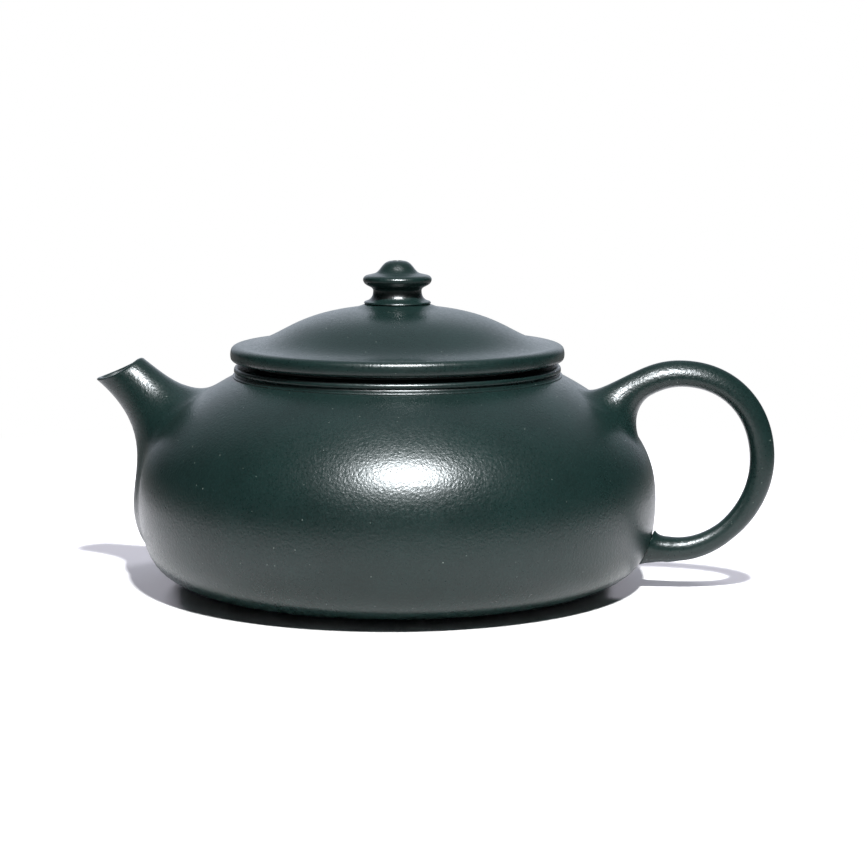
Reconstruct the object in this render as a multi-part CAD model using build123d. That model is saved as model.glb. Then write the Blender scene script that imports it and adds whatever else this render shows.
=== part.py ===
from build123d import *
import math
import os

# A low, round, unglazed stoneware teapot with a lift-off lid, in millimetres.
# Origin: centre of the foot on the table. +Z up, spout towards -X, handle towards +X.
# Every piece is the clay piece the potter makes; they are luted together and fired as one.

# ---- Pot body ----
BODY_RADIUS = 60.0          # widest radius of the belly
BELLY_HEIGHT = 20.0         # height of the widest ring above the table
SHOULDER_RADIUS = 37.9      # where the belly stops under the shoulder ring
SHOULDER_HEIGHT = 48.2
SHOULDER_SLOPE = 27.5       # fall of the shoulder at its top, degrees
SHOULDER_REACH = 20.5       # how far the shoulder keeps to that slope
UPPER_FULLNESS = 10.3       # how far the belly stays upright above its widest ring
LOWER_FULLNESS = 18.0       # and below it
FOOT_RADIUS = 38.0          # outer edge of the flat ring that the pot rests on
FOOT_SLOPE = 5.5            # rise of the belly where it leaves the table, degrees
FOOT_REACH = 14.0           # how far the belly keeps to that slope
WALL = 2.8                  # thickness of the belly
TOP_OPENING = 34.0          # radius of the belly's open top
BASE_OPENING = 34.0         # radius of the belly's open bottom
BASE_RECESS = 1.0           # height of the base disc's rim above the table
BASE_RISE = 1.2             # extra height of the base disc at its centre
BASE_THICKNESS = 2.8

# ---- Mouth: two thin rings stacked on the shoulder ----
MOUTH_RADIUS = 31.0         # clear radius of the mouth
SHOULDER_RING_RADIUS = 37.6
SHOULDER_RING_TOP = 49.4
MOUTH_RING_RADIUS = 36.9
MOUTH_RING_TOP = 50.9
RING_ROUND = 0.5            # rounding of the rings' outer edges

# ---- Lid ----
LID_RADIUS = 38.6
LID_UNDERSIDE = 51.8        # height of the lid's flat underside
LID_EDGE = 3.6              # thickness of the rounded rim
LID_CROWN_RADIUS = 7.4      # where the crown leaves the knob
LID_CROWN_HEIGHT = 64.05
LID_CENTRE_RISE = 0.3       # extra height under the knob
LID_CROWN_SLOPE = 5.1       # fall of the crown beside the knob, degrees
LID_CROWN_REACH = 18.3      # how far the crown keeps to that slope
LID_FLAT_RADIUS = 35.8      # where the skirt meets the flat top of the rim
LID_SKIRT_SLOPE = 6.0       # fall of the skirt there, degrees
LID_SKIRT_REACH = 9.3
LID_THICKNESS = 2.8
LID_HOLLOW_RADIUS = 29.0    # edge of the hollow underneath
LID_HOLLOW_SLOPE = 30.0     # rise of the hollow at its edge, degrees
LID_HOLLOW_REACH = 8.0
LID_CEILING_SLOPE = 4.0     # fall of the hollow's ceiling beside the vent, degrees
LID_CEILING_REACH = 14.0
SEAT_RING_RADIUS = 36.2     # ring under the lid that rests on the mouth ring
SEAT_RING_INNER = 30.0
FLANGE_CLEARANCE = 0.3      # radial gap between the lid's flange and the mouth
FLANGE_THICKNESS = 2.2
FLANGE_DEPTH = 9.0          # how far the flange reaches below the mouth ring's top
FLANGE_CHAMFER = 0.8

# ---- Knob ----
KNOB_TOP = 74.6
KNOB_BASE_RADIUS = 7.75
KNOB_BASE_LOW = 64.3
KNOB_BASE_HIGH = 65.2
KNOB_WAIST_RADIUS = 5.9
KNOB_WAIST_HEIGHT = 67.1
KNOB_DISC_RADIUS = 8.0
KNOB_DISC_HEIGHT = 70.3
KNOB_DISC_UNDER = (7.4, 69.0)       # radius and height where the disc's round edge starts
KNOB_DISC_OVER = (6.6, 71.3)        # and where it ends
KNOB_BUTTON_FOOT = (4.9, 71.85)
KNOB_BUTTON_SIDE = (3.3, 73.6)
VENT_RADIUS = 1.0           # air hole down the knob's axis

# ---- Spout ----
SPOUT_WALL_AT_LIP = 1.3
SPOUT_WALL_AT_ROOT = 2.4
# Cross-sections from the lip down to the root: the upper and the lower point of each in the
# XZ plane, and its half width across Y. The last three flare out into the belly.
SPOUT_SECTIONS = [
    ((-61.25, 50.95), (-72.05, 45.85), 5.2),
    ((-58.1, 49.0), (-69.4, 43.15), 5.6),
    ((-54.3, 46.3), (-66.35, 39.65), 6.2),
    ((-51.2, 44.95), (-64.3, 35.8), 7.4),
    ((-47.4, 44.8), (-63.1, 31.0), 10.0),
    ((-42.2, 46.1), (-63.0, 24.4), 15.0),
    ((-37.5, 45.8), (-62.4, 17.0), 20.0),
    ((-32.8, 43.4), (-59.0, 8.7), 24.0),
]
NARROW_SECTIONS = 4         # the sections before the flare, which also shape the tea's way
# Round sections that carry the tea's way on: centre in the XZ plane, half height, half width
# and the angle of the way from +X.
BEYOND_LIP = ((-67.7, 51.3), 4.4, 3.9, 115.0)
THROUGH_WALL = [
    ((-53.8, 36.2), 6.2, 6.2, 133.0),
    ((-48.8, 30.9), 6.2, 6.2, 133.0),
]

# ---- Strainer: a pierced dome over the spout's hole, inside the belly ----
STRAINER_RADIUS = 9.5
STRAINER_THICKNESS = 1.4
STRAINER_CENTRE = (-51.2, 35.6)     # in the XZ plane
STRAINER_ANGLE = -44.0              # its axis, degrees from +X
STRAINER_HOLE_RADIUS = 0.9
STRAINER_RING_STEP = 22.0   # degrees between rings of holes
STRAINER_RINGS = 3
STRAINER_HOLE_PITCH = 3.6   # distance between neighbouring holes on a ring

# ---- Handle: a tapering round roll bent into a loop, in the XZ plane ----
LOOP_TOP = (64.85, 49.95)           # highest point of the roll's centre line
LOOP_OUTERMOST = (83.75, 30.3)
LOOP_LOWEST = (66.6, 9.55)
HANDLE_ROOT = (54.1, 45.35)         # where the roll starts to flare into the shoulder
HANDLE_END = (57.6, 9.3)            # middle of the cut lower end
ROOT_ANGLE = 38.0                   # rise of the roll at its root, degrees
TAIL_ANGLE = 4.0                    # rise of the roll beyond its lowest point, degrees
# How far the centre line keeps to its heading beside each of those points.
ROOT_REACH = 4.0
TOP_REACHES = (4.5, 11.0)
OUTERMOST_REACHES = (11.3, 10.6)
LOWEST_REACH = 9.0
HANDLE_TOP_RADIUS = 3.1
HANDLE_LOW_RADIUS = 2.6
LOOP_STEPS = 11
# Ovals of the flare inside the shoulder and of the cut lower end:
# centre, half height, half width, and the angle of the roll from +X.
ROOT_OVALS = [
    ((46.4, 37.6), 10.2, 10.0, 42.0),
    ((51.2, 41.5), 6.9, 6.4, 42.0),
    ((53.8, 44.9), 4.6, 4.3, 38.0),
]
END_OVALS = [
    ((62.0, 9.0), 3.1, 2.8, 178.0),
    (HANDLE_END, 4.5, 3.3, 160.0),
]


def point(radius, height):
    """A point of a profile that is turned about the Z axis."""
    return Vector(radius, 0, height)


def along(start, angle, length):
    """The point at a distance from start, at an angle above the outward radial direction."""
    turn = math.radians(angle)
    return start + Vector(length * math.cos(turn), 0, length * math.sin(turn))


def turned(outline):
    """Turn a closed profile about the Z axis into a solid."""
    edges = [edge for curve in outline for edge in curve.edges()]
    face = make_face(edges)
    return revolve(face, axis=Axis.Z)


def ring(inner, outer, low, high, rounding):
    """A flat ring whose outer edges are rounded."""
    blank = Pos(0, 0, low) * extrude(Circle(outer) - Circle(inner), amount=high - low)
    rims = blank.edges().filter_by(GeomType.CIRCLE).sort_by(SortBy.RADIUS)[-2:]
    return fillet(rims, rounding) if rounding else blank


def belly_curves(inset, top, bottom):
    """Two curves of the belly, top to widest ring to bottom, a wall's thickness inside it."""
    share = (BODY_RADIUS - inset) / BODY_RADIUS
    widest = point(BODY_RADIUS - inset, BELLY_HEIGHT)
    upper = Bezier(
        top,
        along(top, -SHOULDER_SLOPE, SHOULDER_REACH),
        widest + Vector(0, 0, UPPER_FULLNESS * share),
        widest,
    )
    lower = Bezier(
        widest,
        widest - Vector(0, 0, LOWER_FULLNESS * share),
        along(bottom, FOOT_SLOPE, FOOT_REACH),
        bottom,
    )
    return upper, lower


def belly_inner_ends():
    """Top and bottom ends of the belly's inner curve."""
    slope = math.radians(SHOULDER_SLOPE)
    run = SHOULDER_RADIUS - TOP_OPENING
    top = point(TOP_OPENING, SHOULDER_HEIGHT - WALL / math.cos(slope) + run * math.tan(slope))
    bottom = point(BASE_OPENING, BASE_RECESS + BASE_THICKNESS)
    return top, bottom


def belly_solid():
    """The belly as one solid lump, used to trim what is luted onto it."""
    top = point(SHOULDER_RADIUS, SHOULDER_HEIGHT)
    bottom = point(FOOT_RADIUS, 0)
    upper, lower = belly_curves(0, top, bottom)
    close = Polyline(bottom, point(0, 0), point(0, SHOULDER_HEIGHT), top)
    return turned([upper, lower, close])


def belly_cavity():
    """The hollow inside the belly wall."""
    top, bottom = belly_inner_ends()
    upper, lower = belly_curves(WALL, top, bottom)
    close = Polyline(bottom, point(0, bottom.Z), point(0, top.Z), top)
    return turned([upper, lower, close])


def make_body_wall(channel):
    """Paddled belly wall, open at the top and at the base, with the spout's hole."""
    outer_top = point(SHOULDER_RADIUS, SHOULDER_HEIGHT)
    outer_bottom = point(FOOT_RADIUS, 0)
    inner_top, inner_bottom = belly_inner_ends()
    outer = belly_curves(0, outer_top, outer_bottom)
    inner = belly_curves(WALL, inner_top, inner_bottom)
    top_edge = Polyline(outer_top, point(TOP_OPENING, SHOULDER_HEIGHT), inner_top)
    foot_edge = Polyline(outer_bottom, point(BASE_OPENING, 0), inner_bottom)
    return turned([*outer, foot_edge, *inner, top_edge]) - channel


def make_base_disc():
    """Slightly domed disc that closes the base, pressed up clear of the table."""
    low_rim = point(BASE_OPENING, BASE_RECESS)
    high_rim = point(BASE_OPENING, BASE_RECESS + BASE_THICKNESS)
    low_centre = point(0, BASE_RECESS + BASE_RISE)
    high_centre = point(0, BASE_RECESS + BASE_RISE + BASE_THICKNESS)
    half = BASE_OPENING / 2
    return turned([
        Line(low_rim, high_rim),
        Bezier(high_rim, point(half, high_centre.Z), high_centre),
        Line(high_centre, low_centre),
        Bezier(low_centre, point(half, low_centre.Z), low_rim),
    ])


def make_shoulder_ring():
    return ring(MOUTH_RADIUS, SHOULDER_RING_RADIUS, SHOULDER_HEIGHT, SHOULDER_RING_TOP, RING_ROUND)


def make_mouth_ring():
    return ring(MOUTH_RADIUS, MOUTH_RING_RADIUS, SHOULDER_RING_TOP, MOUTH_RING_TOP, RING_ROUND)


def oval(centre, half_height, half_width, roll_angle):
    """A flat oval across a roll of clay that runs at an angle from +X in the XZ plane."""
    turn = math.radians(roll_angle)
    place = Plane(
        origin=(centre[0], 0, centre[1]),
        x_dir=(0, 1, 0),
        z_dir=(math.cos(turn), 0, math.sin(turn)),
    )
    return place * Ellipse(half_width, half_height)


def spout_sections(wall_at_lip, wall_at_root):
    """The spout's ovals, drawn in by a wall that thickens from the lip to the root."""
    ovals = []
    last = len(SPOUT_SECTIONS) - 1
    for step, (upper, under, half_width) in enumerate(SPOUT_SECTIONS):
        wall = wall_at_lip + (wall_at_root - wall_at_lip) * step / last
        centre = ((upper[0] + under[0]) / 2, (upper[1] + under[1]) / 2)
        half_height = math.dist(upper, under) / 2
        roll_angle = math.degrees(math.atan2(upper[1] - under[1], upper[0] - under[0])) + 90
        ovals.append(oval(centre, half_height - wall, half_width - wall, roll_angle))
    return ovals


def spout_channel():
    """The tea's way: from beyond the lip down the narrow sections and through the wall."""
    narrow = spout_sections(SPOUT_WALL_AT_LIP, SPOUT_WALL_AT_ROOT)[:NARROW_SECTIONS]
    inner_way = loft(narrow + [oval(*section) for section in THROUGH_WALL])
    outer_way = loft([narrow[0], oval(*BEYOND_LIP)])
    return inner_way + outer_way


def make_spout(channel, belly):
    """Short, straight-cut spout that flares into the belly."""
    return loft(spout_sections(0, 0)) - channel - belly


def make_strainer(cavity):
    """Pierced dome inside the belly, over the spout's hole."""
    turn = math.radians(STRAINER_ANGLE)
    place = Plane(
        origin=(STRAINER_CENTRE[0], 0, STRAINER_CENTRE[1]),
        x_dir=(0, 1, 0),
        z_dir=(math.cos(turn), 0, math.sin(turn)),
    )
    shell = Sphere(STRAINER_RADIUS) - Sphere(STRAINER_RADIUS - STRAINER_THICKNESS)
    drill = Pos(0, 0, STRAINER_RADIUS) * Cylinder(STRAINER_HOLE_RADIUS, 4 * STRAINER_THICKNESS)
    drills = [drill]
    for row in range(1, STRAINER_RINGS + 1):
        tilt = row * STRAINER_RING_STEP
        girth = 2 * math.pi * STRAINER_RADIUS * math.sin(math.radians(tilt))
        count = int(girth / STRAINER_HOLE_PITCH)
        for hole in range(count):
            drills.append(Rot(0, 0, 360 * hole / count) * Rot(0, tilt, 0) * drill)
    return (place * (shell - drills)) & cavity


def handle_line():
    """Centre line of the roll: shoulder to top, top to outermost, outermost to lowest."""
    root = point(*HANDLE_ROOT)
    top = point(*LOOP_TOP)
    outermost = point(*LOOP_OUTERMOST)
    lowest = point(*LOOP_LOWEST)
    before_top, after_top = TOP_REACHES
    above, below = OUTERMOST_REACHES
    return [
        Bezier(root, along(root, ROOT_ANGLE, ROOT_REACH), along(top, 180, before_top), top),
        Bezier(top, along(top, 0, after_top), along(outermost, 90, above), outermost),
        Bezier(
            outermost,
            along(outermost, -90, below),
            along(lowest, TAIL_ANGLE, LOWEST_REACH),
            lowest,
        ),
    ]


def handle_sections():
    """Ovals along the handle, from inside the shoulder round the loop to the cut lower end."""
    ovals = [oval(*section) for section in ROOT_OVALS]
    line = Wire(handle_line())
    for step in range(1, LOOP_STEPS):
        share = step / (LOOP_STEPS - 1)
        centre = line @ share
        heading = line % share
        radius = HANDLE_TOP_RADIUS + (HANDLE_LOW_RADIUS - HANDLE_TOP_RADIUS) * share
        roll_angle = math.degrees(math.atan2(heading.Z, heading.X))
        ovals.append(oval((centre.X, centre.Z), radius, radius, roll_angle))
    ovals += [oval(*section) for section in END_OVALS]
    return ovals


def make_handle(belly):
    """Round loop handle, flared into the shoulder and cut off square against the belly."""
    return loft(handle_sections()) - belly


def make_lid_dome():
    """Domed lid with a flared skirt and a thick rounded rim, hollow underneath."""
    rim_height = LID_UNDERSIDE + LID_EDGE
    round_centre = LID_RADIUS - LID_EDGE / 2
    centre_height = LID_CROWN_HEIGHT + LID_CENTRE_RISE
    crown_top = point(VENT_RADIUS, centre_height)
    crown_edge = point(LID_CROWN_RADIUS, LID_CROWN_HEIGHT)
    skirt_end = point(LID_FLAT_RADIUS, rim_height)
    round_top = point(round_centre, rim_height)
    round_middle = point(LID_RADIUS, LID_UNDERSIDE + LID_EDGE / 2)
    round_low = point(round_centre, LID_UNDERSIDE)
    hollow_edge = point(LID_HOLLOW_RADIUS, LID_UNDERSIDE)
    hollow_top = point(VENT_RADIUS, centre_height - LID_THICKNESS)
    return turned([
        Line(crown_top, crown_edge),
        Bezier(
            crown_edge,
            along(crown_edge, -LID_CROWN_SLOPE, LID_CROWN_REACH),
            along(skirt_end, 180 - LID_SKIRT_SLOPE, LID_SKIRT_REACH),
            skirt_end,
        ),
        Line(skirt_end, round_top),
        ThreePointArc(round_top, round_middle, round_low),
        Line(round_low, hollow_edge),
        Bezier(
            hollow_edge,
            along(hollow_edge, 180 - LID_HOLLOW_SLOPE, LID_HOLLOW_REACH),
            along(hollow_top, -LID_CEILING_SLOPE, LID_CEILING_REACH),
            hollow_top,
        ),
        Line(hollow_top, crown_top),
    ])


def make_lid_seat_ring():
    return ring(SEAT_RING_INNER, SEAT_RING_RADIUS, MOUTH_RING_TOP, LID_UNDERSIDE, 0)


def make_lid_flange():
    """Short skirt under the lid that drops into the mouth."""
    outer = MOUTH_RADIUS - FLANGE_CLEARANCE
    inner = outer - FLANGE_THICKNESS
    low = MOUTH_RING_TOP - FLANGE_DEPTH
    blank = ring(inner, SEAT_RING_INNER, MOUTH_RING_TOP, LID_UNDERSIDE, 0)
    skirt = ring(inner, outer, low, MOUTH_RING_TOP, 0)
    low_rim = skirt.edges().filter_by(GeomType.CIRCLE).group_by(Axis.Z)[0].sort_by(SortBy.RADIUS)[-1]
    return blank + chamfer(low_rim, FLANGE_CHAMFER)


def make_knob():
    """Turned knob: foot, waist, disc and a small button on top, with the air hole."""
    lid_top = point(VENT_RADIUS, LID_CROWN_HEIGHT + LID_CENTRE_RISE)
    lid_edge = point(LID_CROWN_RADIUS, LID_CROWN_HEIGHT)
    foot_low = point(KNOB_BASE_RADIUS, KNOB_BASE_LOW)
    foot_top = point(KNOB_BASE_RADIUS, KNOB_BASE_HIGH)
    waist = point(KNOB_WAIST_RADIUS, KNOB_WAIST_HEIGHT)
    under = point(*KNOB_DISC_UNDER)
    rim = point(KNOB_DISC_RADIUS, KNOB_DISC_HEIGHT)
    over = point(*KNOB_DISC_OVER)
    button_foot = point(*KNOB_BUTTON_FOOT)
    button_side = point(*KNOB_BUTTON_SIDE)
    button_top = point(VENT_RADIUS, KNOB_TOP)
    return turned([
        Line(lid_top, lid_edge),
        Line(lid_edge, foot_low),
        Line(foot_low, foot_top),
        Bezier(foot_top, along(foot_top, 90, 1.0), along(waist, -90, 0.9), waist),
        Bezier(waist, along(waist, 90, 0.8), along(under, -130, 0.8), under),
        ThreePointArc(under, rim, over),
        Bezier(over, along(over, 158, 0.65), along(button_foot, -32, 0.5), button_foot),
        Bezier(button_foot, along(button_foot, 148, 0.85), along(button_side, -45, 0.7), button_side),
        Bezier(button_side, along(button_side, 135, 0.9), along(button_top, 0, 0.8), button_top),
        Line(button_top, lid_top),
    ])


def main():
    belly = belly_solid()
    channel = spout_channel()
    pieces = {
        "body_wall": make_body_wall(channel),
        "base_disc": make_base_disc(),
        "shoulder_ring": make_shoulder_ring(),
        "mouth_ring": make_mouth_ring(),
        "spout": make_spout(channel, belly),
        "strainer": make_strainer(belly_cavity()),
        "handle": make_handle(belly),
        "lid_dome": make_lid_dome(),
        "lid_seat_ring": make_lid_seat_ring(),
        "lid_flange": make_lid_flange(),
        "knob": make_knob(),
    }
    os.makedirs("parts", exist_ok=True)
    for name, piece in pieces.items():
        piece.label = name
        export_step(piece, f"parts/{name}.step")


main()
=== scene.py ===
"""Looks of a low round stoneware teapot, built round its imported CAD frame."""

import math

import bpy
import numpy as np
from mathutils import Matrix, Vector, noise


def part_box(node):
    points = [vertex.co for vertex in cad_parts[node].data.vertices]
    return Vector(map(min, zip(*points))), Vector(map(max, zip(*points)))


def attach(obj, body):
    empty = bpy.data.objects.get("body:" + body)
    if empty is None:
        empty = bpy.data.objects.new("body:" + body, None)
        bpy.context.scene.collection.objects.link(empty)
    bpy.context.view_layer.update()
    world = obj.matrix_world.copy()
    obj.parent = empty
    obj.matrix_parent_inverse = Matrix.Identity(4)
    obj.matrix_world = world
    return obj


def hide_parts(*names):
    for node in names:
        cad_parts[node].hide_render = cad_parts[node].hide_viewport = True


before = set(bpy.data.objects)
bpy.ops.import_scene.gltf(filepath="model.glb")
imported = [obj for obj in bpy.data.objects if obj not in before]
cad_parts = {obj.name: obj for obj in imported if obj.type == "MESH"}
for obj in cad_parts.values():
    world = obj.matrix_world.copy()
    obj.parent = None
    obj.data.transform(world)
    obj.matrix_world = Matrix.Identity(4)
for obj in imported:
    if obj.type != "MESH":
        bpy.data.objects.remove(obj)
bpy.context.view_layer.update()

# ---------------------------------------------------------------- sizes
# Lengths are in millimetres until a mesh is made. Radii and heights come from the frame.
MM = 0.001


def span(node):
    """Radius in Y, lowest and highest height of a CAD node, in millimetres."""
    low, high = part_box(node)
    return high.y / MM, low.z / MM, high.z / MM


BODY_RADIUS, _, SHOULDER_HEIGHT = span("body_wall")
SHOULDER_RING_RADIUS, _, SHOULDER_RING_TOP = span("shoulder_ring")
MOUTH_RING_TOP = span("mouth_ring")[2]
BASE_OPENING, BASE_RECESS, BASE_TOP = span("base_disc")
LID_RADIUS, LID_UNDERSIDE, LID_DOME_TOP = span("lid_dome")
FLANGE_RADIUS, FLANGE_LOW, _ = span("lid_flange")
KNOB_DISC_RADIUS, KNOB_FOOT, KNOB_TOP = span("knob")

BELLY_HEIGHT = 20.0         # height of the belly's widest ring
BELLY_EASE = 0.2            # the real skin stays this far inside the design
BELLY_FULLNESS = 9.6        # how far the belly stays wide above its widest ring
BELLY_LOW_POINT = 2.0       # height down to which it would stay wide below that ring
BELLY_STEPS = 48
SHOULDER_RADIUS = 37.9      # top of the belly, just proud of the shoulder ring
SHOULDER_SLOPE = 27.5       # degrees
SHOULDER_PULL = 20.5        # how far the skin keeps to the shoulder's slope
FOOT_RADIUS = 38.0
FOOT_SLOPE = 5.5
FOOT_PULL = 14.0
WALL = 2.8
TOP_OPENING = 34.0
MOUTH_RADIUS = 31.0
VENT_RADIUS = 1.0

LATHE_STEPS = 256
KNOB_STEPS = 128
ROLL_STEPS = 96
WAVE_DEPTH = 0.04           # unevenness left by the potter's paddle
WAVE_SCALE = 0.07           # waves per millimetre


# ---------------------------------------------------------------- outlines
def bezier(points, count=40):
    """Sampled Bezier curve of two to four control points, in any dimension."""
    points = np.array(points, float)
    order = len(points) - 1
    t = np.linspace(0, 1, count)[:, None]
    return sum(
        math.comb(order, k) * (1 - t) ** (order - k) * t ** k * points[k]
        for k in range(order + 1)
    )


def line(*points):
    """Straight runs through points."""
    return np.array(points, float)


def ahead(start, angle, length):
    """The point at a distance from start, at an angle from the first axis."""
    turn = math.radians(angle)
    return (start[0] + length * math.cos(turn), start[1] + length * math.sin(turn))


def bend(start, end, bends, count):
    """Curve between two points that leaves and arrives along given headings, with given pulls."""
    leaving, pull, arriving, end_pull = bends
    return bezier([start, ahead(start, leaving, pull), ahead(end, arriving, end_pull), end], count)


def lengths(curve):
    """Distance along a curve at each of its points."""
    return np.concatenate([[0.0], np.cumsum(np.linalg.norm(np.diff(curve, axis=0), axis=1))])


def trimmed(curve, from_start, from_end):
    """The curve without a given length at each end."""
    along = lengths(curve)
    first, last = from_start, along[-1] - from_end
    inside = curve[(along > first + 1e-6) & (along < last - 1e-6)]
    ends = [[np.interp(at, along, curve[:, k]) for k in range(2)] for at in (first, last)]
    return np.vstack([ends[0], inside, ends[1]])


def joined(runs, rounds, closed=True):
    """Joins runs end to end; rounds[k] rounds the corner where run k starts."""
    count = len(runs)
    parts = []
    for k, run in enumerate(runs):
        start = rounds[k]
        end = rounds[(k + 1) % count] if closed or k < count - 1 else 0.0
        cut = trimmed(run, start, end)
        if start > 0:
            corner = run[0]
            previous = trimmed(runs[k - 1], 0.0, start)[-1]
            parts.append(bezier([previous, corner, cut[0]], 7)[1:-1])
        parts.append(cut)
    outline = np.vstack(parts)
    keep = np.concatenate([[True], np.linalg.norm(np.diff(outline, axis=0), axis=1) > 1e-5])
    outline = outline[keep]
    if closed and np.linalg.norm(outline[0] - outline[-1]) < 1e-5:
        outline = outline[:-1]
    return outline


# ---------------------------------------------------------------- meshes
def new_piece(name, vertices, faces, body, node):
    """A smooth mesh piece in metres that stands for a CAD node and rides on its body."""
    mesh = bpy.data.meshes.new(name)
    mesh.from_pydata((np.asarray(vertices) * MM).tolist(), [], faces)
    mesh.validate()
    mesh.update()
    mesh.shade_smooth()
    piece = bpy.data.objects.new(name, mesh)
    bpy.context.scene.collection.objects.link(piece)
    press_by_hand(piece)
    if body:
        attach(piece, body)
        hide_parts(node)
    return piece


def press_by_hand(piece):
    """Shallow uneven hollows over the whole skin, always inwards."""
    mesh = piece.data
    count = len(mesh.vertices)
    places = np.empty(count * 3)
    normals = np.empty(count * 3)
    mesh.vertices.foreach_get("co", places)
    mesh.vertices.foreach_get("normal", normals)
    places = places.reshape(-1, 3)
    heights = np.array([noise.noise(Vector(p)) for p in places * (WAVE_SCALE / MM)])
    places -= normals.reshape(-1, 3) * (WAVE_DEPTH * MM * 0.5 * (1 + heights))[:, None]
    mesh.vertices.foreach_set("co", places.ravel())
    mesh.update()


def lathe(name, outline, body, node, closed=True, steps=LATHE_STEPS):
    """Turns an outline of (radius, height) about the Z axis. Points on the axis become poles."""
    turn = np.linspace(0, 2 * math.pi, steps, endpoint=False)
    vertices, rings = [], []
    for radius, height in outline:
        if radius < 1e-6:
            rings.append([len(vertices)])
            vertices.append((0.0, 0.0, height))
        else:
            rings.append(list(range(len(vertices), len(vertices) + steps)))
            vertices += [(radius * math.cos(a), radius * math.sin(a), height) for a in turn]
    faces = []
    last = len(rings) if closed else len(rings) - 1
    for k in range(last):
        lower, upper = rings[k], rings[(k + 1) % len(rings)]
        if len(lower) == 1 and len(upper) == 1:
            continue
        for i in range(steps):
            j = (i + 1) % steps
            if len(lower) == 1:
                faces.append((lower[0], upper[j], upper[i]))
            elif len(upper) == 1:
                faces.append((lower[i], lower[j], upper[0]))
            else:
                faces.append((lower[i], lower[j], upper[j], upper[i]))
    return new_piece(name, vertices, faces, body, node)


def loops_mesh(loops, capped):
    """Loops of equal count joined one to the next: a capped roll, or a ring that closes on itself."""
    count = len(loops[0])
    vertices = np.vstack(loops)
    faces = []
    last = len(loops) - 1 if capped else len(loops)
    for k in range(last):
        a, b = k * count, ((k + 1) % len(loops)) * count
        for i in range(count):
            j = (i + 1) % count
            faces.append((a + i, a + j, b + j, b + i))
    if capped:
        faces.append(tuple(range(count))[::-1])
        faces.append(tuple(range(len(vertices) - count, len(vertices))))
    return vertices, faces


# ---------------------------------------------------------------- belly
def belly_curve(inset, top, bottom):
    """Top to widest ring to bottom, a wall's thickness inside the belly."""
    share = (BODY_RADIUS - inset) / BODY_RADIUS
    widest = (BODY_RADIUS - BELLY_EASE - inset, BELLY_HEIGHT)
    upper = bezier([
        top,
        ahead(top, -SHOULDER_SLOPE, SHOULDER_PULL),
        (widest[0], BELLY_HEIGHT + BELLY_FULLNESS * share),
        widest,
    ], BELLY_STEPS)
    lower = bezier([
        widest,
        (widest[0], BELLY_HEIGHT - (BELLY_HEIGHT - BELLY_LOW_POINT) * share),
        ahead(bottom, FOOT_SLOPE, FOOT_PULL),
        bottom,
    ], BELLY_STEPS)
    return np.vstack([upper, lower[1:]])


BELLY_SKIN = belly_curve(0.0, (SHOULDER_RADIUS, SHOULDER_HEIGHT), (FOOT_RADIUS, 0.0))
BELLY_RUN = lengths(BELLY_SKIN)


def on_belly(turn, run, lift=0.0):
    """Point of the belly's skin at an angle about Z and a distance down from its top."""
    radius = np.interp(run, BELLY_RUN, BELLY_SKIN[:, 0])
    height = np.interp(run, BELLY_RUN, BELLY_SKIN[:, 1])
    out, up = belly_slope(run)
    radius = radius + lift * out
    height = height + lift * up
    return np.stack([radius * np.cos(turn), radius * np.sin(turn), height], -1)


def belly_slope(run, step=0.5):
    """Outward and upward parts of the belly's normal."""
    r0, r1 = (np.interp(run + d, BELLY_RUN, BELLY_SKIN[:, 0]) for d in (-step, step))
    z0, z1 = (np.interp(run + d, BELLY_RUN, BELLY_SKIN[:, 1]) for d in (-step, step))
    size = np.hypot(r1 - r0, z1 - z0)
    return (z0 - z1) / size, (r1 - r0) / size


def belly_normal(turn, run):
    """Unit normal of the belly's skin at an angle about Z and a distance down from its top."""
    out, up = belly_slope(run)
    return np.stack([out * np.cos(turn), out * np.sin(turn), up + 0 * turn], -1)


def run_at_height(height):
    """Distance down the belly's skin at a height."""
    return float(np.interp(-height, -BELLY_SKIN[:, 1], BELLY_RUN))


def make_belly(cutter):
    """The belly's wall, open at the top and the base, with the spout's hole cut through it."""
    slope = math.radians(SHOULDER_SLOPE)
    inner_top = (
        TOP_OPENING,
        SHOULDER_HEIGHT - WALL / math.cos(slope)
        + (SHOULDER_RADIUS - TOP_OPENING) * math.tan(slope),
    )
    inner_bottom = (BASE_OPENING, BASE_RECESS + WALL)
    inner = belly_curve(WALL, inner_top, inner_bottom)[::-1]
    outline = joined(
        [
            BELLY_SKIN,
            line((FOOT_RADIUS, 0.0), (BASE_OPENING, 0.0)),
            line((BASE_OPENING, 0.0), inner_bottom),
            inner,
            line(inner_top, (TOP_OPENING, SHOULDER_HEIGHT)),
            line((TOP_OPENING, SHOULDER_HEIGHT), (SHOULDER_RADIUS, SHOULDER_HEIGHT)),
        ],
        [0.25, 0.3, 0.3, 0.0, 0.2, 0.0],
    )
    piece = lathe("belly", outline[::-1], "pot", "body_wall")
    cut_hole(piece, cutter)
    return piece


def cut_hole(piece, cutter):
    """Cuts the cutter's volume out of the piece, and removes the cutter."""
    cut = piece.modifiers.new("hole", "BOOLEAN")
    cut.operation = "DIFFERENCE"
    cut.solver = "EXACT"
    cut.object = cutter
    bpy.context.view_layer.update()
    result = piece.evaluated_get(bpy.context.evaluated_depsgraph_get())
    mesh = bpy.data.meshes.new_from_object(result)
    piece.modifiers.clear()
    piece.data = mesh
    mesh.shade_smooth()
    bpy.data.objects.remove(cutter)


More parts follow.
